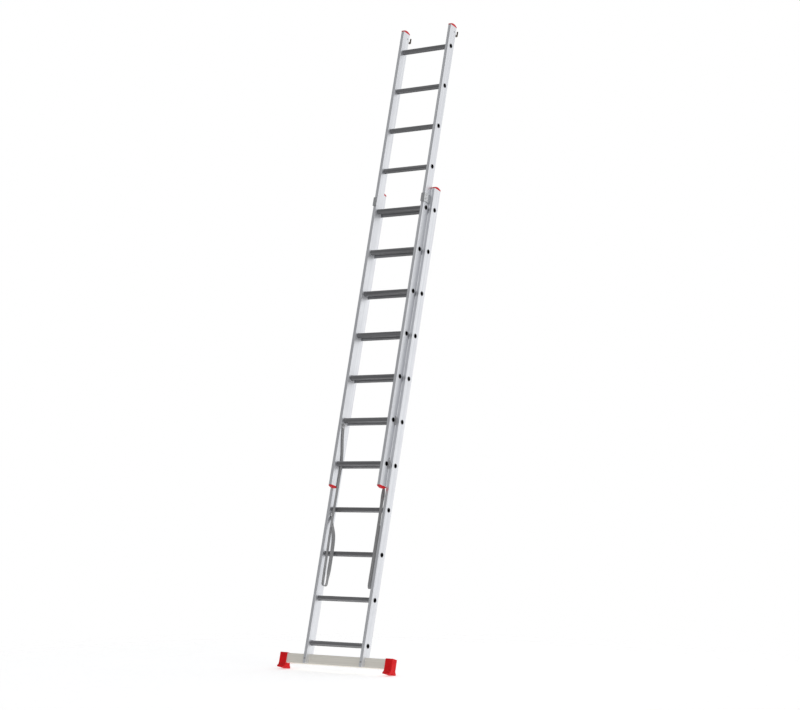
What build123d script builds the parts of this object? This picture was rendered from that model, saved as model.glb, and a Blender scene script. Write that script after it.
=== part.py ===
from build123d import *

import math
import os

# Two-section push-up ladder. Millimetres. X runs across the ladder, +Z runs up the stiles, and the
# climber stands on the -Y side. Z = 0 is the underside of the two feet, midway between them.
# The base section is the rear, wider one. The fly section slides in front of it, between its stiles.

# rungs
rung_pitch = 280.0
rung_count = 11
first_rung_height = 160.0
rung_size = 30.0
rung_corner_radius = 10.5
rung_bore_radius = 12.7
rung_spigot_radius = 14.0
rung_bead_radius = 17.0
rung_bead_width = 4.5
rung_flare_radius = 15.4
rung_flare_thickness = 0.8
tread_groove_count = 5
tread_groove_pitch = 3.6
tread_groove_depth = 0.9
tread_groove_width = 1.6

# stiles, as hollow extrusions
stile_width = 22.0
stile_depth = 66.0
stile_side_wall = 1.8
stile_flange_wall = 2.4
stile_corner_radius = 2.0
stile_groove_width = 6.0
stile_groove_depth = 0.8
stile_overhang = 140.0
base_stile_bottom = 30.0
base_half_width = 226.5
fly_half_width = 199.0
fly_plane_y = -58.0
fly_raised_pitches = 4

# end caps of the stiles
cap_dome_rise = 9.0
cap_skirt = 7.0
cap_plug_depth = 22.0
cap_plug_gap = 0.15
cap_plug_corner_radius = 1.5
cap_edge_radius = 2.5

# stabiliser bar and its feet
bar_height = 60.0
bar_depth = 36.0
bar_wall = 2.0
bar_corner_radius = 3.0
bar_front_y = -5.0
bar_half_length = 428.0
foot_length = 54.0
foot_wall = 3.5
foot_flare_front = 12.0
foot_flare_rear = 10.0
foot_flare_height = 30.0
foot_panel_width = 30.0
foot_panel_height = 34.0
foot_panel_depth = 1.0
sole_lip_height = 7.0
sole_groove_count = 5
sole_groove_depth = 2.0
sole_groove_width = 4.0
bar_bolt_radius = 4.0
bar_bolt_height = 58.0
bar_bolt_head_radius = 7.0
bar_bolt_head_height = 4.0
bar_bolt_tail = 9.0
bar_washer_radius = 9.0
bar_washer_thickness = 1.5
bar_nut_corner_radius = 7.5
bar_nut_height = 6.0

# guide brackets at the top of the base section
bracket_bottom = 2992.0
bracket_height = 56.0
bracket_thickness = 3.0
pad_thickness = 1.2
pad_gap = 1.3
bracket_rear_y = -8.0
bracket_lip_overlap = 2.0
bracket_fixing_inset = 9.0
bracket_fixing_end_gap = 14.0
pad_rivet_inset = 9.0
pad_rivet_low_gap = 20.0
pad_rivet_high_gap = 12.0
pad_end_gap = 2.0
pad_rear_gap = 12.0
pad_lip_overlap = 1.0
rivet_radius = 2.4
rivet_head_radius = 5.0
rivet_head_height = 2.0
rivet_tail = 4.0
low_head_radius = 4.0
low_head_height = 1.4

# hooks behind the top of the fly section
top_hook_thickness = 6.0
top_hook_bar = 8.0
top_hook_top_gap = 45.0
top_hook_arm_height = 22.0
top_hook_root = 24.0
top_hook_rivet_inset = 16.0
top_hook_reach = 34.0
top_hook_bend = 11.0
top_hook_step = 6.0
top_hook_step_run = 10.0
top_hook_tip_rise = 34.0
top_hook_throat_run = 12.0
top_hook_throat_rise = 4.0
top_hook_seat_rise = 7.0

# swinging rung hooks inside the fly stiles
rung_hook_thickness = 6.0
rung_hook_seat_gap = 0.5
rung_hook_wall = 7.5
rung_hook_eye_radius = 8.0
rung_hook_pin_radius = 4.0
rung_hook_pin_gap = 0.06
rung_hook_pivot_y = -38.0
rung_hook_pivot_rise = 38.0
rung_hook_swing = 152.0
rung_hook_slot_gap = 0.4
rung_hook_slot_below = 30.0
rung_hook_slot_above = 80.0
rung_hook_back_angle = -22.0
rung_hook_front_angle = 128.0
rung_hook_arm_angle = 112.0
rung_hook_spacer_radius = 6.5

# guide shoes on the outside of the fly stiles
shoe_gap = 0.5
shoe_width = 10.0
shoe_depth = 8.0
shoe_height = 60.0
shoe_end_thickness = 2.0

# straps
strap_tube_radius = 2.5
anchor_width = 27.0
anchor_height = 20.0
anchor_plate = 2.5
anchor_gap = 2.2
anchor_corner_radius = 3.0
anchor_screw_radius = 3.0
anchor_head_radius = 5.5
anchor_head_height = 2.4
fly_anchor_y = -66.0
fly_anchor_z = 1518.0
base_anchor_y = -8.0
base_anchor_z = 966.0

base_inner_x = base_half_width - stile_width
fly_inner_x = fly_half_width - stile_width
base_stile_top = first_rung_height + (rung_count - 1) * rung_pitch + stile_overhang
fly_first_rung = first_rung_height + fly_raised_pitches * rung_pitch
fly_stile_bottom = fly_first_rung - stile_overhang
fly_stile_top = fly_first_rung + (rung_count - 1) * rung_pitch + stile_overhang
fly_front_y = fly_plane_y - stile_depth / 2
fly_rear_y = fly_plane_y + stile_depth / 2
base_front_y = -stile_depth / 2
base_stile_x = base_half_width - stile_width / 2
fly_stile_x = fly_half_width - stile_width / 2
bracket_inner_x = base_inner_x - bracket_thickness
bracket_fixing_y = bracket_rear_y - bracket_fixing_inset
pad_front_y = fly_front_y - pad_gap - pad_thickness
pad_rivet_y = fly_front_y + pad_rivet_inset
rung_hook_pivot_z = fly_first_rung + rung_hook_pivot_rise
sides = {"left": -1, "right": 1}

# Each strap's centreline, written for the right-hand side, from the fly anchor down, round the slack
# loop and up to the base anchor. The left strap's loop hangs open sideways, and its route is
# mirrored. The right strap's loop hangs folded front to back beside its stile, with the front of a
# rung pressing its legs together.
left_strap_route = [
    (174.2, -66.0, 1507.5),
    (174.2, -57.0, 1440.0),
    (174.3, -37.0, 1360.0),
    (174.1, -27.4, 1295.0),
    (174.2, -27.8, 1210.0),
    (174.0, -28.6, 1110.0),
    (174.3, -30.0, 1000.0),
    (174.0, -31.2, 850.0),
    (173.6, -30.0, 700.0),
    (172.0, -30.6, 600.0),
    (171.0, -30.0, 545.0),
    (170.0, -30.2, 511.0),
    (139.0, -30.2, 510.0),
    (138.0, -30.6, 550.0),
    (137.0, -30.0, 620.0),
    (136.5, -31.0, 720.0),
    (139.5, -30.2, 800.0),
    (158.0, -24.0, 862.0),
    (181.0, -14.0, 905.0),
    (198.5, -8.5, 940.0),
    (201.6, -8.0, 955.5),
]
right_strap_route = [
    (174.2, -66.0, 1507.5),
    (174.2, -57.0, 1440.0),
    (174.3, -37.0, 1360.0),
    (174.1, -27.4, 1295.0),
    (174.0, -22.0, 1225.0),
    (174.6, -15.0, 1150.0),
    (176.5, -15.5, 1090.0),
    (180.5, -20.6, 1035.0),
    (183.0, -22.6, 985.0),
    (184.0, -22.3, 900.0),
    (183.8, -22.7, 800.0),
    (184.2, -22.4, 720.0),
    (184.0, -22.8, 640.0),
    (184.3, -24.0, 565.0),
    (184.2, -24.2, 508.0),
    (188.4, -2.2, 506.5),
    (189.0, -3.0, 560.0),
    (189.6, -8.0, 625.0),
    (189.9, -16.6, 672.0),
    (190.0, -19.2, 700.0),
    (190.3, -19.2, 742.0),
    (190.6, -15.8, 775.0),
    (191.4, -9.0, 830.0),
    (193.6, -7.4, 880.0),
    (198.2, -8.2, 918.0),
    (201.2, -7.8, 942.0),
    (201.6, -8.0, 955.5),
]


def block(x_range, y_range, z_range):
    """A plain box between two limits on each axis."""
    spans = (x_range, y_range, z_range)
    size = [high - low for low, high in spans]
    middle = [(low + high) / 2 for low, high in spans]
    return Pos(*middle) * Box(*size)


def rod_x(radius, x_range, y, z):
    """A round bar along X."""
    low, high = x_range
    return Pos((low + high) / 2, y, z) * Rot(0, 90, 0) * Cylinder(radius, high - low)


def rod_y(radius, y_range, x, z):
    """A round bar along Y."""
    low, high = y_range
    return Pos(x, (low + high) / 2, z) * Rot(90, 0, 0) * Cylinder(radius, high - low)


def side_plate(outline, thickness, x_middle):
    """A plate in the Y-Z plane, cut to an outline given as (y, z), centred on x_middle."""
    plane = Plane(origin=(x_middle - thickness / 2, 0, 0), x_dir=(0, 1, 0), z_dir=(1, 0, 0))
    return extrude(plane * outline, amount=thickness)


def mirrored(solid):
    """The same piece on the other side of the ladder."""
    return mirror(solid, about=Plane.YZ)


def on_side(sign, solid):
    """A piece drawn on the right-hand side, placed on the side that sign gives."""
    return solid if sign > 0 else mirrored(solid)


def save(name, *solids):
    """Write one node's STEP file."""
    shape = solids[0] if len(solids) == 1 else Compound(children=list(solids))
    shape.label = name
    export_step(shape, f"parts/{name}.step")


def rung_heights(first_height):
    return [first_height + step * rung_pitch for step in range(rung_count)]


def stile(x_middle, y_middle, bottom, top, first_height):
    """A hollow right-hand stile, grooved along its front and back, with a hole for each rung."""
    outer = RectangleRounded(stile_width, stile_depth, stile_corner_radius)
    inner_width = stile_width - 2 * stile_side_wall
    inner_depth = stile_depth - 2 * stile_flange_wall
    section = outer - RectangleRounded(inner_width, inner_depth, stile_corner_radius / 2)
    for face in (-1, 1):
        groove = Rectangle(stile_groove_width, 2 * stile_groove_depth)
        section -= Pos(0, face * stile_depth / 2) * groove
    body = extrude(Pos(x_middle, y_middle, bottom) * section, amount=top - bottom)
    span = (x_middle - stile_width, x_middle + stile_width)
    holes = [rod_x(rung_spigot_radius, span, y_middle, z) for z in rung_heights(first_height)]
    return body - holes


def tread_section():
    """The rung's cross-section: a rounded square with grooves along its top and bottom."""
    section = RectangleRounded(rung_size, rung_size, rung_corner_radius)
    first = -(tread_groove_count - 1) / 2
    for step in range(tread_groove_count):
        across = (first + step) * tread_groove_pitch
        for face in (-1, 1):
            groove = Rectangle(2 * tread_groove_depth, tread_groove_width)
            section -= Pos(face * rung_size / 2, across) * groove
    return section - Circle(rung_bore_radius)


def rung(inner_x, outer_x, y, z):
    """A ridged tube between the stiles, with a bead at each inner face and a spigot through each."""
    ring = Circle(rung_spigot_radius) - Circle(rung_bore_radius)
    bead = Circle(rung_bead_radius) - Circle(rung_bore_radius)
    flare = Circle(rung_flare_radius) - Circle(rung_bore_radius)
    along = Plane(origin=(0, y, z), x_dir=(0, 0, 1), z_dir=(1, 0, 0))
    tread_half = inner_x - rung_bead_width
    body = extrude(along * tread_section(), amount=tread_half, both=True)
    for sign in (-1, 1):
        body += extrude(along.offset(sign * tread_half) * bead, amount=sign * rung_bead_width)
        body += extrude(along.offset(sign * inner_x) * ring, amount=sign * (outer_x - inner_x))
        body += extrude(along.offset(sign * outer_x) * flare, amount=sign * rung_flare_thickness)
    return body


def end_cap(x_middle, y_middle, end_z, direction):
    """A moulded cap: a plug inside the stile, a skirt over its end and a dome across its depth."""
    half = stile_depth / 2
    dome = Polyline((-half, 0), (-half, cap_skirt)) + Line((half, cap_skirt), (half, 0))
    dome += ThreePointArc((-half, cap_skirt), (0, cap_skirt + cap_dome_rise), (half, cap_skirt))
    dome += Line((half, 0), (-half, 0))
    outline = make_face(dome)
    cap = side_plate(outline, stile_width, 0)
    cap = fillet(cap.edges().filter_by(Axis.X, reverse=True).filter_by(GeomType.CIRCLE), cap_edge_radius)
    plug_width = stile_width - 2 * (stile_side_wall + cap_plug_gap)
    plug_depth = stile_depth - 2 * (stile_flange_wall + cap_plug_gap)
    plug = RectangleRounded(plug_width, plug_depth, cap_plug_corner_radius)
    cap += extrude(plug, amount=-cap_plug_depth)
    if direction < 0:
        cap = Rot(180, 0, 0) * cap
    return Pos(x_middle, y_middle, end_z) * cap


def base_stile():
    """The base section's right-hand stile, cut away at the bottom for the stabiliser bar."""
    body = stile(base_stile_x, 0, base_stile_bottom, base_stile_top, first_rung_height)
    x_range = (base_inner_x - 1, base_half_width + 1)
    body -= block(x_range, (bar_front_y, stile_depth), (0, base_stile_bottom + bar_height))
    body -= rod_y(bar_bolt_radius, (base_front_y - 1, bar_front_y), base_stile_x, bar_bolt_height)
    for z in bracket_fixing_heights():
        body -= rod_x(rivet_radius, (base_inner_x - 1, base_stile_x), bracket_fixing_y, z)
    return body


def fly_stile():
    """The fly section's right-hand stile, slotted for its top hook and its rung hook."""
    body = stile(fly_stile_x, fly_plane_y, fly_stile_bottom, fly_stile_top, fly_first_rung)
    half_slot = top_hook_thickness / 2
    slot_x = (fly_stile_x - half_slot, fly_stile_x + half_slot)
    bottom, top = top_hook_arm_heights()
    body -= block(slot_x, (fly_rear_y - stile_flange_wall - 1, fly_rear_y + 1), (bottom, top))
    across = (fly_inner_x - 1, fly_half_width + 1)
    body -= rod_x(rivet_radius, across, *top_hook_rivet_point())
    half_slot = rung_hook_thickness / 2 + rung_hook_slot_gap
    slot_x = (fly_stile_x - half_slot, fly_stile_x + half_slot)
    slot_z = (rung_hook_pivot_z - rung_hook_slot_below, rung_hook_pivot_z + rung_hook_slot_above)
    body -= block(slot_x, (fly_rear_y - stile_flange_wall - 1, fly_rear_y + 1), slot_z)
    body -= rod_x(rung_hook_pin_radius, across, rung_hook_pivot_y, rung_hook_pivot_z)
    return body


def stabiliser_bar():
    """A rectangular tube across the foot of the base section."""
    outer = RectangleRounded(bar_depth, bar_height, bar_corner_radius)
    inner_radius = bar_corner_radius - bar_wall
    inner = RectangleRounded(bar_depth - 2 * bar_wall, bar_height - 2 * bar_wall, inner_radius)
    middle = (0, bar_front_y + bar_depth / 2, base_stile_bottom + bar_height / 2)
    plane = Plane(origin=middle, x_dir=(0, 1, 0), z_dir=(1, 0, 0))
    tube = extrude(plane * (outer - inner), amount=bar_half_length, both=True)
    through = (bar_front_y - 1, bar_front_y + bar_depth + 1)
    for sign in sides.values():
        tube -= rod_y(bar_bolt_radius, through, sign * base_stile_x, bar_bolt_height)
    return tube


def stabiliser_foot():
    """A flared rubber boot over the bar's right-hand end, with a grooved sole."""
    front = bar_front_y - foot_wall
    rear = bar_front_y + bar_depth + foot_wall
    top = base_stile_bottom + bar_height + foot_wall
    toe = front - foot_flare_front
    heel = rear + foot_flare_rear
    edge = Polyline((rear, foot_flare_height), (rear, top), (front, top), (front, foot_flare_height))
    edge += Bezier(
        (front, foot_flare_height), (front, foot_flare_height / 2), (toe, sole_lip_height * 1.6),
        (toe, sole_lip_height),
    )
    edge += Polyline((toe, sole_lip_height), (toe, 0), (heel, 0), (heel, sole_lip_height))
    edge += Bezier(
        (heel, sole_lip_height), (heel, sole_lip_height * 1.6), (rear, foot_flare_height / 2),
        (rear, foot_flare_height),
    )
    outer_x = bar_half_length + foot_wall
    inner_x = outer_x - foot_length
    boot = side_plate(make_face(edge), foot_length, (inner_x + outer_x) / 2)
    pocket = RectangleRounded(bar_depth, bar_height, bar_corner_radius)
    middle_y = bar_front_y + bar_depth / 2
    middle_z = base_stile_bottom + bar_height / 2
    boot -= side_plate(Pos(middle_y, middle_z) * pocket, foot_length, bar_half_length - foot_length / 2)
    middle_x = (inner_x + outer_x) / 2
    panel_x = (middle_x - foot_panel_width / 2, middle_x + foot_panel_width / 2)
    panel_z = (middle_z - foot_panel_height / 2, middle_z + foot_panel_height / 2)
    boot -= block(panel_x, (front - 1, front + foot_panel_depth), panel_z)
    groove_pitch = (heel - toe) / (sole_groove_count + 1)
    for step in range(sole_groove_count):
        y = toe + (step + 1) * groove_pitch
        across = (y - sole_groove_width / 2, y + sole_groove_width / 2)
        boot -= block((inner_x - 1, outer_x + 1), across, (-1, sole_groove_depth))
    return boot


def bar_bolt(x):
    """A bolt from the stile's front face through the bar."""
    rear = bar_front_y + bar_depth
    head_y = (base_front_y - bar_bolt_head_height, base_front_y)
    head = rod_y(bar_bolt_head_radius, head_y, x, bar_bolt_height)
    head = fillet(head.faces().sort_by(Axis.Y)[0].edges(), bar_bolt_head_height * 0.4)
    return head + rod_y(bar_bolt_radius, (base_front_y - 1, rear + bar_bolt_tail), x, bar_bolt_height)


def bar_nut(x):
    """The hexagonal nut and washer behind the bar."""
    rear = bar_front_y + bar_depth
    seat = rear + bar_washer_thickness
    plane = Plane(origin=(x, seat, bar_bolt_height), x_dir=(1, 0, 0), z_dir=(0, 1, 0))
    nut = extrude(plane * RegularPolygon(bar_nut_corner_radius, 6), amount=bar_nut_height)
    washer = rod_y(bar_washer_radius, (rear, seat), x, bar_bolt_height)
    bore = rod_y(bar_bolt_radius, (rear - 1, seat + bar_nut_height + 1), x, bar_bolt_height)
    return nut + washer - bore


def bracket_fixing_heights():
    low = bracket_bottom + bracket_fixing_end_gap
    return low, bracket_bottom + bracket_height - bracket_fixing_end_gap


def pad_rivet_heights():
    return bracket_bottom + pad_rivet_low_gap, bracket_bottom + bracket_height - pad_rivet_high_gap


def guide_bracket():
    """A bent steel plate on the base stile's inner face that wraps the fly stile's front."""
    z_range = (bracket_bottom, bracket_bottom + bracket_height)
    lip_front = pad_front_y - bracket_thickness
    plate = block((bracket_inner_x, base_inner_x), (lip_front, bracket_rear_y), z_range)
    lip = block((fly_inner_x - bracket_lip_overlap, base_inner_x), (lip_front, pad_front_y), z_range)
    shape = plate + lip
    corner = shape.edges().filter_by(Axis.Z).filter_by_position(Axis.Y, lip_front - 0.1, lip_front + 0.1)
    shape = fillet(corner.sort_by(Axis.X)[-1], bracket_thickness * 0.9)
    for z in bracket_fixing_heights():
        shape -= rod_x(rivet_radius, (bracket_inner_x - 1, base_inner_x + 1), bracket_fixing_y, z)
    for z in pad_rivet_heights():
        shape -= rod_x(rivet_radius, (bracket_inner_x - 1, base_inner_x + 1), pad_rivet_y, z)
    return shape


def guide_pad():
    """The nylon liner between the guide bracket and the fly stile."""
    z_range = (bracket_bottom + pad_end_gap, bracket_bottom + bracket_height - pad_end_gap)
    outer = bracket_inner_x
    side = block((outer - pad_thickness, outer), (pad_front_y, fly_rear_y - pad_rear_gap), z_range)
    front_y = (pad_front_y, pad_front_y + pad_thickness)
    front = block((fly_inner_x - pad_lip_overlap, outer), front_y, z_range)
    shape = side + front
    for z in pad_rivet_heights():
        shape -= rod_x(rivet_radius, (outer - pad_thickness - 1, outer + 1), pad_rivet_y, z)
    return shape


def round_head(x_base, direction, y, z, radius, height):
    """A low domed rivet head standing on a face at x_base."""
    span = sorted((x_base, x_base + direction * height))
    head = rod_x(radius, span, y, z)
    rim = head.faces().sort_by(Axis.X)[-1 if direction > 0 else 0].edges()
    return fillet(rim, height * 0.8)


def bracket_rivet_set():
    """Right-hand rivets: two hold the bracket to the stile, two hold the pad to the bracket."""
    rivets = []
    for z in bracket_fixing_heights():
        shank = rod_x(rivet_radius, (bracket_inner_x, base_inner_x + rivet_tail), bracket_fixing_y, z)
        head = round_head(bracket_inner_x, -1, bracket_fixing_y, z, low_head_radius, low_head_height)
        rivets.append(shank + head)
    for z in pad_rivet_heights():
        flush = bracket_inner_x - pad_thickness
        shank = rod_x(rivet_radius, (flush, base_inner_x), pad_rivet_y, z)
        head = round_head(base_inner_x, 1, pad_rivet_y, z, rivet_head_radius, rivet_head_height)
        rivets.append(shank + head)
    return rivets


def top_hook_arm_heights():
    bottom = fly_stile_top - top_hook_top_gap
    return bottom, bottom + top_hook_arm_height


def top_hook_rivet_point():
    bottom, top = top_hook_arm_heights()
    return fly_rear_y - top_hook_rivet_inset, (bottom + top) / 2


def top_hook():
    """A flat steel hook, open upwards, that comes out of the back of the fly stile."""
    bottom, top = top_hook_arm_heights()
    root = fly_rear_y - top_hook_root
    tip_rear = fly_rear_y + top_hook_reach
    tip_front = tip_rear - top_hook_bar
    tip_top = bottom + top_hook_tip_rise
    underside = bottom - top_hook_step
    bend_start = (tip_rear - top_hook_bend, underside)
    bend_end = (tip_rear, underside + top_hook_bend)
    edge = Polyline(
        (root, top), (root, bottom), (fly_rear_y + 1, bottom),
        (fly_rear_y + top_hook_step_run, underside), bend_start,
    )
    edge += RadiusArc(bend_start, bend_end, -top_hook_bend)
    edge += Polyline(
        bend_end, (tip_rear, tip_top), (tip_front, tip_top), (tip_front, bottom + top_hook_seat_rise),
        (fly_rear_y + top_hook_throat_run, bottom + top_hook_throat_rise), (fly_rear_y + 2, top), (root, top),
    )
    plate = side_plate(make_face(edge), top_hook_thickness, fly_stile_x)
    across = (fly_inner_x, fly_half_width)
    return plate - rod_x(rivet_radius, across, *top_hook_rivet_point())


def cross_rivet(y, z):
    """A rivet right through the fly stile, with a domed head on each face."""
    shank = rod_x(rivet_radius, (fly_inner_x, fly_half_width), y, z)
    outer = round_head(fly_half_width, 1, y, z, rivet_head_radius, rivet_head_height)
    inner = round_head(fly_inner_x, -1, y, z, rivet_head_radius, rivet_head_height)
    return shank + outer + inner


def polar_point(radius, degrees):
    return radius * math.cos(math.radians(degrees)), radius * math.sin(math.radians(degrees))


def rung_hook():
    """A flat hook that seats on the base rung level with the lowest fly rung, drawn seated and then
    swung up into the hollow of the fly stile, which is how it is stored."""
    corner_reach = (rung_size / 2 - rung_corner_radius) * math.sqrt(2) + rung_corner_radius
    seat_radius = corner_reach + rung_hook_seat_gap
    outer_radius = seat_radius + rung_hook_wall
    rung_point = (0.0, fly_first_rung)
    pivot_point = (rung_hook_pivot_y, rung_hook_pivot_z)
    ring = Circle(outer_radius) - Circle(seat_radius)
    far = 3 * outer_radius
    back = polar_point(far, rung_hook_back_angle)
    front = polar_point(far, rung_hook_front_angle)
    sector = make_face(Polyline((0, 0), back, (far, far), (0, far), front, (0, 0)))
    claw = Pos(*rung_point) * (ring & sector)
    across, up = polar_point((seat_radius + outer_radius) / 2, rung_hook_arm_angle)
    knuckle = (rung_point[0] + across, rung_point[1] + up)
    ends = Pos(*pivot_point) * Circle(rung_hook_eye_radius) + Pos(*knuckle) * Circle(rung_hook_wall / 2)
    arm = make_hull(ends.edges()) - Pos(*rung_point) * Circle(seat_radius)
    eye_hole = Pos(*pivot_point) * Circle(rung_hook_pin_radius + rung_hook_pin_gap)
    outline = claw + arm - eye_hole
    hook = side_plate(outline, rung_hook_thickness, fly_stile_x)
    pivot = Axis((0, *pivot_point), (1, 0, 0))
    return hook.rotate(pivot, rung_hook_swing)


def rung_hook_pin():
    """The pivot pin, with a spacer on each side of the hook and a head on the stile's outer face."""
    y, z = rung_hook_pivot_y, rung_hook_pivot_z
    pin = rod_x(rung_hook_pin_radius, (fly_inner_x, fly_half_width), y, z)
    half = rung_hook_thickness / 2 + rung_hook_slot_gap / 2
    wall = stile_side_wall
    pin += rod_x(rung_hook_spacer_radius, (fly_inner_x + wall, fly_stile_x - half), y, z)
    pin += rod_x(rung_hook_spacer_radius, (fly_stile_x + half, fly_half_width - wall), y, z)
    pin += round_head(fly_half_width, 1, y, z, rung_hook_spacer_radius, rivet_head_height)
    return pin


def guide_shoe(z_middle):
    """A slim block on the fly stile's outer face that runs on the base stile's front face."""
    rear = base_front_y - shoe_gap
    z_low, z_high = z_middle - shoe_height / 2, z_middle + shoe_height / 2
    thin = fly_half_width + shoe_end_thickness
    thick = fly_half_width + shoe_width
    ramp = 2 * (shoe_width - shoe_end_thickness)
    outline = Polyline(
        (fly_half_width, z_low), (fly_half_width, z_high), (thin, z_high), (thick, z_high - ramp),
        (thick, z_low + ramp), (thin, z_low), close=True,
    )
    plane = Plane(origin=(0, rear, 0), x_dir=(1, 0, 0), z_dir=(0, -1, 0))
    return extrude(plane * make_face(outline), amount=shoe_depth)


def strap_anchor(x_face, y, z):
    """A clamp plate held off the stile's inner face by its screw, with room for the webbing."""
    near = x_face - anchor_gap - anchor_plate
    plate = block(
        (near, x_face - anchor_gap),
        (y - anchor_width / 2, y + anchor_width / 2),
        (z - anchor_height / 2, z + anchor_height / 2),
    )
    plate = fillet(plate.edges().filter_by(Axis.X), anchor_corner_radius)
    shank = rod_x(anchor_screw_radius, (near, x_face), y, z)
    return plate + shank + round_head(near, -1, y, z, anchor_head_radius, anchor_head_height)


def corner_radii(points):
    """For each inner point, the largest arc that its two straight runs leave room for."""
    radii = []
    for before, here, after in zip(points, points[1:], points[2:]):
        incoming = Vector(*here) - Vector(*before)
        outgoing = Vector(*after) - Vector(*here)
        half_turn = math.radians(incoming.get_angle(outgoing)) / 2
        shorter = min(incoming.length, outgoing.length)
        radii.append(0.45 * shorter / math.tan(half_turn))
    return radii


def strap(route):
    """A webbing strap on the right-hand side, as a round bar along its centreline."""
    radii = corner_radii(route)
    print("strap radii:", " ".join(f"{radius:.0f}" for radius in radii))
    line = FilletPolyline(*route, radius=radii)
    start = Plane(origin=line @ 0, z_dir=line % 0)
    tube = sweep(start * Circle(strap_tube_radius), path=line)
    print(f"strap length {line.length:.1f}")
    print(f"strap volume ratio {tube.volume / (math.pi * strap_tube_radius**2 * line.length):.4f}")
    return tube


def write_rungs(section, inner_x, outer_x, y, first_height):
    for number, z in enumerate(rung_heights(first_height), start=1):
        save(f"{section}_rung_{number:02d}", rung(inner_x, outer_x, y, z))


def write_pair(name, solid):
    for side, sign in sides.items():
        save(f"{name}_{side}", on_side(sign, solid))


def write_group(name, right_solids):
    save(name, *right_solids, *[mirrored(solid) for solid in right_solids])


os.makedirs("parts", exist_ok=True)

# base section
write_pair("base_stile", base_stile())
write_rungs("base", base_inner_x, base_half_width, 0, first_rung_height)
write_pair("base_top_cap", end_cap(base_stile_x, 0, base_stile_top, 1))
write_pair("guide_bracket", guide_bracket())
write_pair("guide_pad", guide_pad())
write_group("bracket_rivets", bracket_rivet_set())
save("stabiliser_bar", stabiliser_bar())
write_pair("stabiliser_foot", stabiliser_foot())
write_group("bar_bolts", [bar_bolt(base_stile_x)])
write_group("bar_nuts", [bar_nut(base_stile_x)])
write_group("base_strap_anchors", [strap_anchor(base_inner_x, base_anchor_y, base_anchor_z)])
save("strap_left", on_side(sides["left"], strap(left_strap_route)))
save("strap_right", on_side(sides["right"], strap(right_strap_route)))

# fly section
write_pair("fly_stile", fly_stile())
write_rungs("fly", fly_inner_x, fly_half_width, fly_plane_y, fly_first_rung)
write_pair("fly_top_cap", end_cap(fly_stile_x, fly_plane_y, fly_stile_top, 1))
write_pair("fly_bottom_cap", end_cap(fly_stile_x, fly_plane_y, fly_stile_bottom, -1))
write_pair("top_hook", top_hook())
write_group("top_hook_rivets", [cross_rivet(*top_hook_rivet_point())])
write_pair("lower_guide_shoe", guide_shoe(fly_first_rung))
write_pair("upper_guide_shoe", guide_shoe(fly_first_rung + rung_pitch))
write_group("fly_strap_anchors", [strap_anchor(fly_inner_x, fly_anchor_y, fly_anchor_z)])
write_pair("rung_hook", rung_hook())
write_group("rung_hook_pins", [rung_hook_pin()])
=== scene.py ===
import math

import bmesh
import bpy
from mathutils import Matrix, Vector
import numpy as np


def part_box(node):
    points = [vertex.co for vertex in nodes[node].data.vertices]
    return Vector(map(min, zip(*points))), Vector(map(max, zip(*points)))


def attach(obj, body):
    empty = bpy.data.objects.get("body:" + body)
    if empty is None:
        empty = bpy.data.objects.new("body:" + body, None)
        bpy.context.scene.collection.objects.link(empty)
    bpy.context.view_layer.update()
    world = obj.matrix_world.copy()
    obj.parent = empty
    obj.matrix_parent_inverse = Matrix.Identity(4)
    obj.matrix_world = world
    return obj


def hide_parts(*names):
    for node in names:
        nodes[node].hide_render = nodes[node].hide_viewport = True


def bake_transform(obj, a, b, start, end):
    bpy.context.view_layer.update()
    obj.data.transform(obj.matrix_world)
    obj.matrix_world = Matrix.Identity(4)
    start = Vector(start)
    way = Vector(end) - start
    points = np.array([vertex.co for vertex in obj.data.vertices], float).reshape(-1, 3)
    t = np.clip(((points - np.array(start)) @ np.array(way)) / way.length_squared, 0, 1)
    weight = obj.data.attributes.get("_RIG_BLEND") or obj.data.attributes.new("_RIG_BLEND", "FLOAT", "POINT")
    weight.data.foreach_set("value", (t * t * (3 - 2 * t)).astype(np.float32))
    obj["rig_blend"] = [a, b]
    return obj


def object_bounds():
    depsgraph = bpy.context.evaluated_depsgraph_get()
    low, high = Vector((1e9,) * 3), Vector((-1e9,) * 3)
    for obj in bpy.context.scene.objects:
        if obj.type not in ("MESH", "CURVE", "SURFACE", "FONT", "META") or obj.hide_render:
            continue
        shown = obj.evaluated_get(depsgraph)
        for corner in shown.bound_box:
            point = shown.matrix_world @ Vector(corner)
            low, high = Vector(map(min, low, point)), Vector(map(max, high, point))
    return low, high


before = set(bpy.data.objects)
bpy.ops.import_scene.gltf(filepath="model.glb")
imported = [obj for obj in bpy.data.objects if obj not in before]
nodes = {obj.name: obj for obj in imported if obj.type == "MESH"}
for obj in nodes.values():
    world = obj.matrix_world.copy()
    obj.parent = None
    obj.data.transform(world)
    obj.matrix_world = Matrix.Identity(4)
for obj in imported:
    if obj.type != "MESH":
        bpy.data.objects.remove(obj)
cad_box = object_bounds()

# Two-section push-up ladder, in metres. The ladder's own frame has +Z up the stiles, +X to the
# climber's right and the climber on the -Y side. The ladder leans back, so the floor is a plane
# tilted about X in this frame.

lean_angle = math.radians(14.5)
floor_normal = Vector((0, -math.sin(lean_angle), math.cos(lean_angle)))
sides = {"left": -1, "right": 1}


def middle(node):
    """The centre of a CAD node's box."""
    low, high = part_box(node)
    return (low + high) / 2


rung_height = middle("base_rung_01").z
rung_pitch = middle("base_rung_02").z - rung_height
base_y = middle("base_rung_01").y
fly_y = middle("fly_rung_01").y
bar_low, bar_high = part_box("stabiliser_bar")
bore_radius = 0.0127

# ---------------------------------------------------------------- camera

camera_place = Vector((7.8186, -10.0163, -1.3857))
camera_aim = Vector((0, 0.1688, 2.0562))
camera_lens = 93.8


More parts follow.
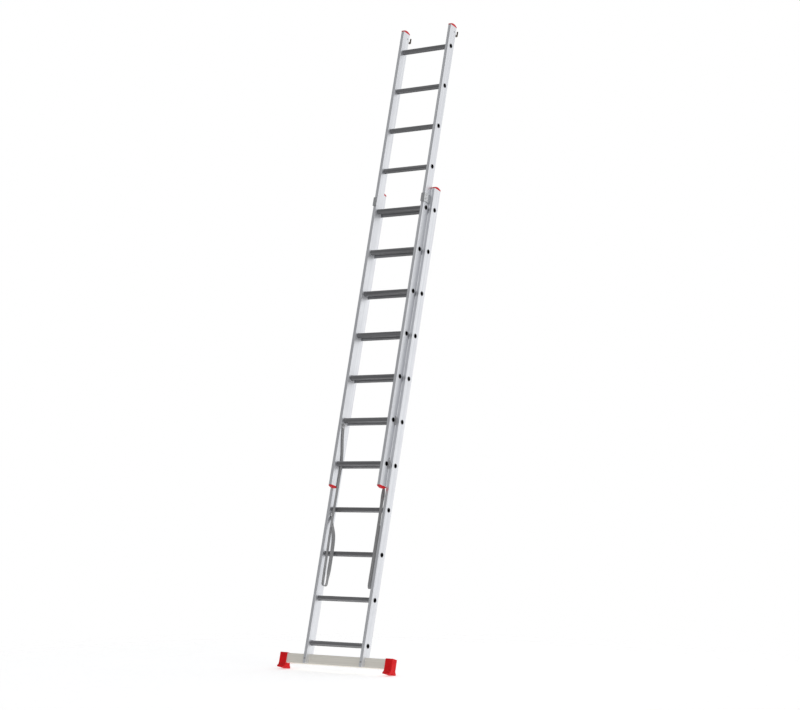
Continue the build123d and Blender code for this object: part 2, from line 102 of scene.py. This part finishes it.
def add_camera():
    """The camera stands level on the tilted floor."""
    data = bpy.data.cameras.new("camera")
    data.sensor_width = 36
    data.lens = camera_lens
    data.clip_end = 60
    camera = bpy.data.objects.new("camera", data)
    bpy.context.scene.collection.objects.link(camera)
    forward = (camera_aim - camera_place).normalized()
    right = forward.cross(floor_normal).normalized()
    turn = Matrix((right, right.cross(forward), -forward)).transposed().to_4x4()
    camera.matrix_world = Matrix.Translation(camera_place) @ turn
    bpy.context.scene.camera = camera


# ---------------------------------------------------------------- node tools


def add_node(tree, kind, place=None, **settings):
    """A node of that kind, with its settings made."""
    made = tree.nodes.new(kind)
    for name, value in settings.items():
        setattr(made, name, value)
    return made


def feed(tree, socket, value):
    """Puts a value on a socket, or links an output to it."""
    if isinstance(value, bpy.types.NodeSocket):
        tree.links.new(value, socket)
    elif value is not None:
        socket.default_value = value


def math_node(tree, operation, *values, clamp=False):
    made = add_node(tree, "ShaderNodeMath", operation=operation, use_clamp=clamp)
    for socket, value in zip(made.inputs, values):
        feed(tree, socket, value)
    return made.outputs[0]


def scaled(tree, vector, scale):
    """The vector with each axis multiplied by its own scale."""
    made = add_node(tree, "ShaderNodeVectorMath", operation="MULTIPLY")
    feed(tree, made.inputs[0], vector)
    feed(tree, made.inputs[1], scale)
    return made.outputs[0]


def noise(tree, vector, scale, detail=3.0, roughness=0.5):
    made = add_node(tree, "ShaderNodeTexNoise")
    feed(tree, made.inputs["Vector"], vector)
    feed(tree, made.inputs["Scale"], scale)
    made.inputs["Detail"].default_value = detail
    made.inputs["Roughness"].default_value = roughness
    return made.outputs["Fac"]


def spread(tree, value, low, high, to_low=0.0, to_high=1.0):
    """The part of a value between low and high, stretched to a new range and held at its ends."""
    made = add_node(tree, "ShaderNodeMapRange", clamp=True)
    for socket, number in zip(made.inputs, (value, low, high, to_low, to_high)):
        feed(tree, socket, number)
    return made.outputs[0]


def mixed(tree, share, first, second, blend="MIX"):
    """One colour mixed into another."""
    made = add_node(tree, "ShaderNodeMix", data_type="RGBA", blend_type=blend)
    feed(tree, made.inputs["Factor"], share)
    feed(tree, made.inputs["A"], first)
    feed(tree, made.inputs["B"], second)
    return made.outputs["Result"]


def new_group(name, inputs, outputs):
    """An empty shader node group with named sockets."""
    group = bpy.data.node_groups.new(name, "ShaderNodeTree")
    for direction, sockets in (("INPUT", inputs), ("OUTPUT", outputs)):
        for socket, kind in sockets.items():
            group.interface.new_socket(socket, in_out=direction, socket_type=f"NodeSocket{kind}")
    entry = group.nodes.new("NodeGroupInput")
    leave = group.nodes.new("NodeGroupOutput")
    return group, entry.outputs, leave.inputs


def use_group(tree, group, **values):
    """Places a group. An input is given by its name with its blanks as underscores."""
    made = add_node(tree, "ShaderNodeGroup", node_tree=group)
    for name, value in values.items():
        feed(tree, made.inputs[name.replace("_", " ")], value)
    return made.outputs


# ---------------------------------------------------------------- shared finishes


def drawn_lines():
    """Die lines of an extrusion: fine streaks that run along whichever axis has the small scale."""
    inputs = {"Coordinate": "Vector", "Line Scale": "Vector", "Band Scale": "Vector"}
    group, entry, leave = new_group("drawn_lines", inputs, {"Lines": "Float", "Bands": "Float"})
    fine = noise(group, scaled(group, entry["Coordinate"], entry["Line Scale"]), 1.0, 4.0, 0.65)
    broad = noise(group, scaled(group, entry["Coordinate"], entry["Band Scale"]), 1.0, 2.0)
    feed(group, leave["Lines"], spread(group, fine, 0.3, 0.7))
    feed(group, leave["Bands"], spread(group, broad, 0.35, 0.65))
    return group


def handling_marks():
    """Faint smears and dust from handling, and sparse short scratches."""
    group, entry, leave = new_group(
        "handling_marks", {"Coordinate": "Vector"}, {"Smears": "Float", "Scratches": "Float"}
    )
    cloud = noise(group, entry["Coordinate"], 7.0, 5.0, 0.6)
    feed(group, leave["Smears"], spread(group, cloud, 0.42, 0.72))
    warp = noise(group, entry["Coordinate"], 16.0, 2.0)
    stretch = scaled(group, entry["Coordinate"], (420.0, 180.0, 34.0))
    cuts = noise(group, stretch, 1.0, 2.0)
    cut = spread(group, cuts, 0.70, 0.76)
    here = spread(group, warp, 0.56, 0.64)
    feed(group, leave["Scratches"], math_node(group, "MULTIPLY", cut, here))
    return group


def moulded_grain():
    """The fine spark-eroded grain of a moulding, and its slow change of tone."""
    group, entry, leave = new_group(
        "moulded_grain", {"Coordinate": "Vector"}, {"Grain": "Float", "Tone": "Float"}
    )
    feed(group, leave["Grain"], noise(group, entry["Coordinate"], 1600.0, 2.0))
    feed(group, leave["Tone"], spread(group, noise(group, entry["Coordinate"], 38.0, 3.0), 0.3, 0.7))
    return group


def rung_bore_shade():
    """1 inside a rung's hollow and 0 outside, for rungs that run along X at an even pitch up Z. It masks the
    painted shade inside the hollow.
    """
    group, entry, leave = new_group(
        "rung_bore_shade", {"Coordinate": "Vector", "Centre Y": "Float"}, {"Inside": "Float"}
    )
    split = add_node(group, "ShaderNodeSeparateXYZ")
    feed(group, split.inputs[0], entry["Coordinate"])
    y = math_node(group, "SUBTRACT", split.outputs["Y"], entry["Centre Y"])
    rise = math_node(group, "SUBTRACT", split.outputs["Z"], rung_height)
    z = math_node(group, "WRAP", rise, rung_pitch / 2, -rung_pitch / 2)
    square = math_node(group, "ADD", math_node(group, "POWER", y, 2.0), math_node(group, "POWER", z, 2.0))
    inside = math_node(group, "LESS_THAN", math_node(group, "SQRT", square), bore_radius + 0.0002)
    feed(group, leave["Inside"], inside)
    return group


lines_group = drawn_lines()
marks_group = handling_marks()
grain_group = moulded_grain()
bore_shade_group = rung_bore_shade()


# ---------------------------------------------------------------- materials


def new_material(name, **sockets):
    """A Principled material. A socket is given by its name with its blanks as underscores."""
    material = bpy.data.materials.new(name)
    material.use_nodes = True
    tree = material.node_tree
    shader = tree.nodes["Principled BSDF"]
    for socket, value in sockets.items():
        shader.inputs[socket.replace("_", " ")].default_value = value
    place = add_node(tree, "ShaderNodeTexCoord").outputs["Object"]
    return material, tree, shader, place


def bump(tree, shader, height, distance, strength=1.0):
    made = add_node(tree, "ShaderNodeBump")
    made.inputs["Strength"].default_value = strength
    made.inputs["Distance"].default_value = distance
    feed(tree, made.inputs["Height"], height)
    feed(tree, shader.inputs["Normal"], made.outputs["Normal"])


def extruded_metal(name, bright, dull, line_scale, band_scale, roughness, metallic=1.0, bore_y=None):
    """Extruded aluminium with die lines, broad bands and handling marks. Given bore_y, the inside of the rung's
    hollow gets painted shade, near black.
    """
    material, tree, shader, place = new_material(name, Metallic=metallic)
    lines = use_group(tree, lines_group, Coordinate=place, Line_Scale=line_scale, Band_Scale=band_scale)
    marks = use_group(tree, marks_group, Coordinate=place)
    tone = math_node(tree, "MULTIPLY", lines["Bands"], 0.7)
    tone = math_node(tree, "ADD", tone, math_node(tree, "MULTIPLY", lines["Lines"], 0.3))
    colour = mixed(tree, tone, (*dull, 1), (*bright, 1))
    colour = mixed(tree, math_node(tree, "MULTIPLY", marks["Smears"], 0.25), colour, (*dull, 1))
    colour = mixed(tree, math_node(tree, "MULTIPLY", marks["Scratches"], 0.6), colour, (*bright, 1))
    rough = spread(tree, lines["Lines"], 0, 1, roughness - 0.05, roughness + 0.06)
    rough = math_node(tree, "ADD", rough, math_node(tree, "MULTIPLY", marks["Smears"], 0.08))
    if bore_y is not None:
        # Painted shade: the rung's hollow is coloured near black and made rough, standing in for the shade deep
        # inside the tube.
        inside = use_group(tree, bore_shade_group, Coordinate=place, Centre_Y=bore_y)["Inside"]
        colour = mixed(tree, inside, colour, (0.012, 0.012, 0.013, 1))
        rough = math_node(tree, "MAXIMUM", rough, math_node(tree, "MULTIPLY", inside, 0.9))
    feed(tree, shader.inputs["Base Color"], colour)
    feed(tree, shader.inputs["Roughness"], rough)
    height = math_node(tree, "SUBTRACT", lines["Lines"], marks["Scratches"])
    bump(tree, shader, height, 0.00006)
    return material


def moulded_plastic(name, colour, deep, roughness, grain_depth=0.00005, **sockets):
    """A moulding with a fine grain and a slightly uneven tone."""
    material, tree, shader, place = new_material(name, **sockets)
    grain = use_group(tree, grain_group, Coordinate=place)
    marks = use_group(tree, marks_group, Coordinate=place)
    tint = mixed(tree, grain["Tone"], (*deep, 1), (*colour, 1))
    feed(tree, shader.inputs["Base Color"], tint)
    rough = spread(tree, grain["Tone"], 0, 1, roughness + 0.05, roughness - 0.04)
    rough = math_node(tree, "ADD", rough, math_node(tree, "MULTIPLY", marks["Smears"], 0.12))
    feed(tree, shader.inputs["Roughness"], rough)
    bump(tree, shader, grain["Grain"], grain_depth)
    return material


def plated_steel(name, bright, dull, roughness):
    """Plated steel, with the cloudy tone that plating has and a few scratches."""
    material, tree, shader, place = new_material(name, Metallic=1.0)
    marks = use_group(tree, marks_group, Coordinate=place)
    cloud = spread(tree, noise(tree, place, 95.0, 5.0, 0.62), 0.34, 0.66)
    colour = mixed(tree, cloud, (*dull, 1), (*bright, 1))
    feed(tree, shader.inputs["Base Color"], mixed(tree, marks["Scratches"], colour, (*bright, 1)))
    feed(tree, shader.inputs["Roughness"], spread(tree, cloud, 0, 1, roughness + 0.1, roughness - 0.05))
    pits = noise(tree, place, 900.0, 3.0)
    bump(tree, shader, pits, 0.00003)
    return material


along_z_lines = (900.0, 900.0, 1.6)
along_z_bands = (110.0, 110.0, 0.7)
along_x_lines = (2.0, 1100.0, 1100.0)
along_x_bands = (1.5, 170.0, 170.0)

stile_metal = extruded_metal(
    "stile_aluminium", (0.86, 0.87, 0.89), (0.72, 0.73, 0.76), along_z_lines, along_z_bands, 0.40
)
bar_metal = extruded_metal(
    "bar_aluminium", (0.90, 0.87, 0.80), (0.79, 0.76, 0.69), along_x_lines, along_x_bands, 0.52, 0.35
)
base_rung_metal = extruded_metal(
    "base_rung_aluminium", (0.36, 0.36, 0.37), (0.20, 0.20, 0.206), along_x_lines, along_x_bands, 0.38,
    bore_y=base_y,
)
fly_rung_metal = extruded_metal(
    "fly_rung_aluminium", (0.36, 0.36, 0.37), (0.20, 0.20, 0.206), along_x_lines, along_x_bands, 0.38,
    bore_y=fly_y,
)
cap_plastic = moulded_plastic(
    "cap_plastic", (0.74, 0.008, 0.018), (0.58, 0.004, 0.010), 0.34, Specular_IOR_Level=0.25
)
foot_rubber = moulded_plastic(
    "foot_rubber", (0.80, 0.006, 0.010), (0.66, 0.003, 0.006), 0.5, 0.00012, Specular_IOR_Level=0.2
)
pad_nylon = moulded_plastic("pad_nylon", (0.035, 0.035, 0.036), (0.022, 0.022, 0.023), 0.45)
shoe_plastic = moulded_plastic("shoe_plastic", (0.40, 0.40, 0.41), (0.33, 0.33, 0.34), 0.45)
bracket_steel = plated_steel("bracket_steel", (0.66, 0.67, 0.68), (0.50, 0.51, 0.52), 0.24)
hook_steel = plated_steel("hook_steel", (0.14, 0.115, 0.095), (0.07, 0.058, 0.05), 0.38)
rivet_steel = plated_steel("rivet_steel", (0.62, 0.62, 0.63), (0.46, 0.46, 0.47), 0.30)


def woven_webbing():
    """Plain-woven webbing. Its pattern lies on the piece's own UV map, whose unit is a metre."""
    material, tree, shader, place = new_material("strap_webbing", Metallic=0.0, Sheen_Weight=0.25)
    uv = add_node(tree, "ShaderNodeUVMap", uv_map="webbing").outputs[0]
    split = add_node(tree, "ShaderNodeSeparateXYZ")
    feed(tree, split.inputs[0], uv)
    across, along = split.outputs["X"], split.outputs["Y"]
    warp_turn = math_node(tree, "MULTIPLY", across, math.pi / warp_pitch)
    weft_turn = math_node(tree, "MULTIPLY", along, math.pi / weft_pitch)
    warp = math_node(tree, "ABSOLUTE", math_node(tree, "SINE", warp_turn))
    weft = math_node(tree, "ABSOLUTE", math_node(tree, "SINE", weft_turn))
    column = math_node(tree, "FLOOR", math_node(tree, "DIVIDE", across, warp_pitch))
    row = math_node(tree, "FLOOR", math_node(tree, "DIVIDE", along, weft_pitch))
    over = math_node(tree, "PINGPONG", math_node(tree, "ADD", column, row), 1.0)
    height = mixed(tree, over, warp, weft)
    edge = math_node(tree, "ABSOLUTE", math_node(tree, "DIVIDE", across, strap_width / 2))
    selvedge = spread(tree, edge, 0.82, 0.9)
    fibre = noise(tree, scaled(tree, uv, (5200.0, 900.0, 1.0)), 1.0, 3.0)
    dust = spread(tree, noise(tree, place, 24.0, 4.0), 0.35, 0.7)
    colour = mixed(tree, height, (0.20, 0.20, 0.205, 1), (0.38, 0.38, 0.385, 1))
    colour = mixed(tree, math_node(tree, "MULTIPLY", selvedge, 0.45), colour, (0.20, 0.20, 0.205, 1))
    colour = mixed(tree, math_node(tree, "MULTIPLY", dust, 0.2), colour, (0.37, 0.37, 0.37, 1))
    colour = mixed(tree, math_node(tree, "MULTIPLY", fibre, 0.15), colour, (0.24, 0.24, 0.245, 1))
    feed(tree, shader.inputs["Base Color"], colour)
    feed(tree, shader.inputs["Roughness"], spread(tree, height, 0, 1, 0.92, 0.74))
    bump(tree, shader, height, 0.00035)
    return material


# ---------------------------------------------------------------- straps

strap_width = 0.023
strap_thickness = 0.0018
warp_pitch = 0.0012
weft_pitch = 0.0016
strap_columns = 6
fly_gap_x = 0.1759
base_gap_x = 0.2034
tail_overlap = 0.004
tail_length = 0.026

# Each strap's line, written for the right-hand side, from the fly anchor down, round the slack loop
# and up to the base anchor. The left one is mirrored into place.
left_strap_route = [
    (0.1742, -0.0660, 1.5075),
    (0.1742, -0.0570, 1.4400),
    (0.1743, -0.0370, 1.3600),
    (0.1741, -0.0274, 1.2950),
    (0.1742, -0.0278, 1.2100),
    (0.1740, -0.0286, 1.1100),
    (0.1743, -0.0300, 1.0000),
    (0.1740, -0.0312, 0.8500),
    (0.1736, -0.0300, 0.7000),
    (0.1720, -0.0306, 0.6000),
    (0.1710, -0.0300, 0.5450),
    (0.1700, -0.0302, 0.5110),
    (0.1390, -0.0302, 0.5100),
    (0.1380, -0.0306, 0.5500),
    (0.1370, -0.0300, 0.6200),
    (0.1365, -0.0310, 0.7200),
    (0.1395, -0.0302, 0.8000),
    (0.1580, -0.0240, 0.8620),
    (0.1810, -0.0140, 0.9050),
    (0.1985, -0.0085, 0.9400),
    (0.2016, -0.0080, 0.9555),
]
right_strap_route = [
    (0.1742, -0.0660, 1.5075),
    (0.1742, -0.0570, 1.4400),
    (0.1743, -0.0370, 1.3600),
    (0.1741, -0.0274, 1.2950),
    (0.1740, -0.0220, 1.2250),
    (0.1746, -0.0150, 1.1500),
    (0.1765, -0.0155, 1.0900),
    (0.1805, -0.0206, 1.0350),
    (0.1830, -0.0226, 0.9850),
    (0.1840, -0.0223, 0.9000),
    (0.1838, -0.0227, 0.8000),
    (0.1842, -0.0224, 0.7200),
    (0.1840, -0.0228, 0.6400),
    (0.1843, -0.0240, 0.5650),
    (0.1842, -0.0242, 0.5080),
    (0.1884, -0.0022, 0.5065),
    (0.1890, -0.0030, 0.5600),
    (0.1896, -0.0080, 0.6250),
    (0.1899, -0.0166, 0.6720),
    (0.1900, -0.0192, 0.7000),
    (0.1903, -0.0192, 0.7420),
    (0.1906, -0.0158, 0.7750),
    (0.1914, -0.0090, 0.8300),
    (0.1936, -0.0074, 0.8800),
    (0.1982, -0.0082, 0.9180),
    (0.2012, -0.0078, 0.9420),
    (0.2016, -0.0080, 0.9555),
]


def spline_points(route):
    """Points along the smooth NURBS line whose control points are the route's."""
    curve = bpy.data.curves.new("route", "CURVE")
    curve.dimensions = "3D"
    spline = curve.splines.new("NURBS")
    spline.points.add(len(route) - 1)
    for point, place in zip(spline.points, route):
        point.co = (*place, 1)
    spline.order_u = 3
    spline.use_endpoint_u = True
    spline.resolution_u = 12
    holder = bpy.data.objects.new("route", curve)
    mesh = bpy.data.meshes.new_from_object(holder)
    line = [vertex.co.copy() for vertex in mesh.vertices]
    bpy.data.meshes.remove(mesh)
    bpy.data.objects.remove(holder)
    bpy.data.curves.remove(curve)
    return line


def lengths_along(line):
    """How far along the line each of its points is."""
    total = [0.0]
    for before, here in zip(line, line[1:]):
        total.append(total[-1] + (here - before).length)
    return total


def smooth_step(value, low, high):
    share = min(max((value - low) / (high - low), 0), 1)
    return share * share * (3 - 2 * share)


# How far the webbing's width is turned from front-to-back towards the right, in degrees, at
# distances along it in metres.
left_twists = ((1.05, 0), (1.16, 62), (1.30, 62), (1.42, 0))
right_twists = ((0.36, 0), (0.48, 90), (1.32, 90), (1.42, 0))


def twist_at(along, twists):
    """The turn at one distance, eased from each given turn to the next."""
    angle = twists[0][1]
    for (low, before), (high, after) in zip(twists, twists[1:]):
        angle += (after - before) * smooth_step(along, low, high)
    return math.radians(angle)


def strip_frames(line, along, twists):
    """For each point of the line, where it is and the direction of the webbing's width."""
    frames = []
    for step, here in enumerate(line):
        ahead = line[min(step + 1, len(line) - 1)]
        behind = line[max(step - 1, 0)]
        tangent = (ahead - behind).normalized()
        turn = twist_at(along[step], twists)
        width = Vector((math.sin(turn), math.cos(turn), 0))
        frames.append((here, (width - tangent * width.dot(tangent)).normalized()))
    return frames


def woven_strip(name, line, twists, material):
    """Webbing swept along a line, as a ribbon that is then given its thickness."""
    along = lengths_along(line)
    frames = strip_frames(line, along, twists)
    mesh = bpy.data.meshes.new(name)
    work = bmesh.new()
    weave = work.loops.layers.uv.new("webbing")
    length_layer = work.verts.layers.float.new("along")
    across_layer = work.verts.layers.float.new("across")
    half = strap_width / 2
    shares = [2 * column / strap_columns - 1 for column in range(strap_columns + 1)]
    here, width = frames[0]
    row = [work.verts.new(here + width * (share * half)) for share in shares]
    for vertex, share in zip(row, shares):
        vertex[across_layer] = share * half
    edges = [work.edges.new(pair) for pair in zip(row, row[1:])]
    for (here, width), distance in zip(frames[1:], along[1:]):
        made = bmesh.ops.extrude_edge_only(work, edges=edges)["geom"]
        edges = [item for item in made if isinstance(item, bmesh.types.BMEdge)]
        for vertex in {end for edge in edges for end in edge.verts}:
            vertex.co = here + width * vertex[across_layer]
            vertex[length_layer] = distance
    for patch in work.faces:
        patch.smooth = True
        for loop in patch.loops:
            loop[weave].uv = (loop.vert[across_layer], loop.vert[length_layer])
    bmesh.ops.recalc_face_normals(work, faces=work.faces)
    work.to_mesh(mesh)
    work.free()
    mesh.materials.append(material)
    strip = bpy.data.objects.new(name, mesh)
    bpy.context.scene.collection.objects.link(strip)
    thick = strip.modifiers.new("thickness", "SOLIDIFY")
    thick.thickness = strap_thickness
    thick.offset = 0
    rounded = strip.modifiers.new("edges", "BEVEL")
    rounded.width = strap_thickness * 0.3
    rounded.segments = 2
    rounded.limit_method = "ANGLE"
    return strip


def share_strap_along(strip):
    """Lets the strap follow the base at its base end and the fly at its other, evenly along it."""
    mesh = strip.data
    count = len(mesh.vertices)
    along = [0.0] * count
    mesh.attributes["along"].data.foreach_get("value", along)
    furthest = max(along)
    mesh.attributes["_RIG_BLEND"].data.foreach_set("value", [1 - value / furthest for value in along])


def add_strap_tail(name, body, x, y, low, high, webbing):
    """The strap's end, which lies under its clamp plate and stands out past it."""
    steps = 6
    line = [Vector((x, y, low + (high - low) * step / steps)) for step in range(steps + 1)]
    tail = woven_strip(name, line, ((0, 0), (1, 0)), webbing)
    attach(tail, body)


def add_straps():
    webbing = woven_webbing()
    straps = {
        "left": (left_strap_route, left_twists, 1.479),
        "right": (right_strap_route, right_twists, 1.469),
    }
    for side, (route, twists, length) in straps.items():
        sign = sides[side]
        line = spline_points([(sign * x, y, z) for x, y, z in route])
        strip = woven_strip(f"strap_webbing_{side}", line, twists, webbing)
        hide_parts(f"strap_{side}")
        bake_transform(strip, "base", "fly", start=line[-1], end=line[0])
        share_strap_along(strip)
        fly_end, base_end = line[0], line[-1]
        add_strap_tail(
            f"fly_strap_tail_{side}", "fly", sign * fly_gap_x, fly_end.y,
            fly_end.z - tail_overlap, fly_end.z + tail_length, webbing,
        )
        add_strap_tail(
            f"base_strap_tail_{side}", "base", sign * base_gap_x, base_end.y,
            base_end.z - tail_overlap, base_end.z + tail_length, webbing,
        )


# ---------------------------------------------------------------- finishes of the CAD pieces

finish_of = {
    "base_stile": stile_metal,
    "fly_stile": stile_metal,
    "base_rung": base_rung_metal,
    "fly_rung": fly_rung_metal,
    "base_top_cap": cap_plastic,
    "fly_top_cap": cap_plastic,
    "fly_bottom_cap": cap_plastic,
    "stabiliser_foot": foot_rubber,
    "stabiliser_bar": bar_metal,
    "guide_bracket": bracket_steel,
    "guide_pad": pad_nylon,
    "lower_guide_shoe": shoe_plastic,
    "upper_guide_shoe": shoe_plastic,
    "top_hook_rivets": rivet_steel,
    "top_hook": hook_steel,
    "rung_hook_pins": rivet_steel,
    "rung_hook": hook_steel,
    "bracket_rivets": rivet_steel,
    "bar_bolts": rivet_steel,
    "bar_nuts": rivet_steel,
    "base_strap_anchors": rivet_steel,
    "fly_strap_anchors": rivet_steel,
}


def finish_cad_pieces():
    for name, piece in nodes.items():
        kind = max((start for start in finish_of if name.startswith(start)), key=len, default=None)
        if kind is None:
            continue
        for slot in piece.material_slots:
            slot.material = finish_of[kind]


# ---------------------------------------------------------------- floor and light

floor_centre = Vector((0, 0, 0)) - floor_normal * (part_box("stabiliser_foot_left")[1].y * math.sin(lean_angle))
floor_radius = 3.2


def add_floor():
    """A pale round floor that fades out towards its rim and isn't there from below."""
    material, tree, shader, place = new_material("floor", Roughness=0.9, Specular_IOR_Level=0.1)
    shader.inputs["Base Color"].default_value = (0.93, 0.93, 0.93, 1)
    shader.inputs["Emission Color"].default_value = (1, 1, 1, 1)
    shader.inputs["Emission Strength"].default_value = 0.40
    speck = noise(tree, place, 60.0, 4.0)
    bump(tree, shader, speck, 0.0004)
    length = add_node(tree, "ShaderNodeVectorMath", operation="LENGTH")
    feed(tree, length.inputs[0], place)
    solid = spread(tree, length.outputs["Value"], floor_radius * 0.3, floor_radius, 1.0, 0.0)
    below = add_node(tree, "ShaderNodeNewGeometry").outputs["Backfacing"]
    solid = math_node(tree, "MULTIPLY", solid, math_node(tree, "SUBTRACT", 1.0, below))
    clear = add_node(tree, "ShaderNodeBsdfTransparent").outputs[0]
    blend = add_node(tree, "ShaderNodeMixShader")
    feed(tree, blend.inputs[0], solid)
    feed(tree, blend.inputs[1], clear)
    feed(tree, blend.inputs[2], shader.outputs[0])
    feed(tree, tree.nodes["Material Output"].inputs["Surface"], blend.outputs[0])
    mesh = bpy.data.meshes.new("floor")
    work = bmesh.new()
    bmesh.ops.create_circle(work, cap_ends=True, segments=96, radius=floor_radius)
    work.to_mesh(mesh)
    work.free()
    mesh.materials.append(material)
    floor = bpy.data.objects.new("floor", mesh)
    bpy.context.scene.collection.objects.link(floor)
    floor.matrix_world = Matrix.Translation(floor_centre) @ Matrix.Rotation(lean_angle, 4, "X")


def add_world():
    """A white studio that is brighter behind the ladder's right side than in front of its left."""
    world = bpy.data.worlds.new("studio")
    bpy.context.scene.world = world
    world.use_nodes = True
    tree = world.node_tree
    tree.nodes.clear()
    direction = add_node(tree, "ShaderNodeTexCoord").outputs["Generated"]
    towards = add_node(tree, "ShaderNodeVectorMath", operation="DOT_PRODUCT")
    feed(tree, towards.inputs[0], direction)
    towards.inputs[1].default_value = Vector((0.62, 0.76, 0.18)).normalized()
    strength = spread(tree, towards.outputs["Value"], -1, 1, 0.33, 0.92)
    lit = add_node(tree, "ShaderNodeBackground")
    lit.inputs["Color"].default_value = (0.985, 0.99, 1.0, 1)
    feed(tree, lit.inputs["Strength"], strength)
    seen = add_node(tree, "ShaderNodeBackground")
    seen.inputs["Color"].default_value = (1, 1, 1, 1)
    choice = add_node(tree, "ShaderNodeMixShader")
    feed(tree, choice.inputs[0], add_node(tree, "ShaderNodeLightPath").outputs["Is Camera Ray"])
    feed(tree, choice.inputs[1], lit.outputs[0])
    feed(tree, choice.inputs[2], seen.outputs[0])
    feed(tree, add_node(tree, "ShaderNodeOutputWorld").inputs[0], choice.outputs[0])


def add_soft_light(name, place, aim, size, power):
    data = bpy.data.lights.new(name, "AREA")
    data.shape = "DISK"
    data.size = size
    data.energy = power
    light = bpy.data.objects.new(name, data)
    bpy.context.scene.collection.objects.link(light)
    back = (place - aim).normalized()
    light.matrix_world = Matrix.Translation(place) @ back.to_track_quat("Z", "Y").to_matrix().to_4x4()


def add_lights():
    centre = (cad_box[0] + cad_box[1]) / 2
    add_soft_light("key", Vector((7.0, -1.5, 6.5)), centre, 4.0, 60)
    add_soft_light("fill", Vector((2.0, 6.5, 4.0)), centre, 5.0, 20)


bpy.context.scene.view_settings.view_transform = "Standard"
add_camera()
add_straps()
finish_cad_pieces()
add_floor()
add_world()
add_lights()
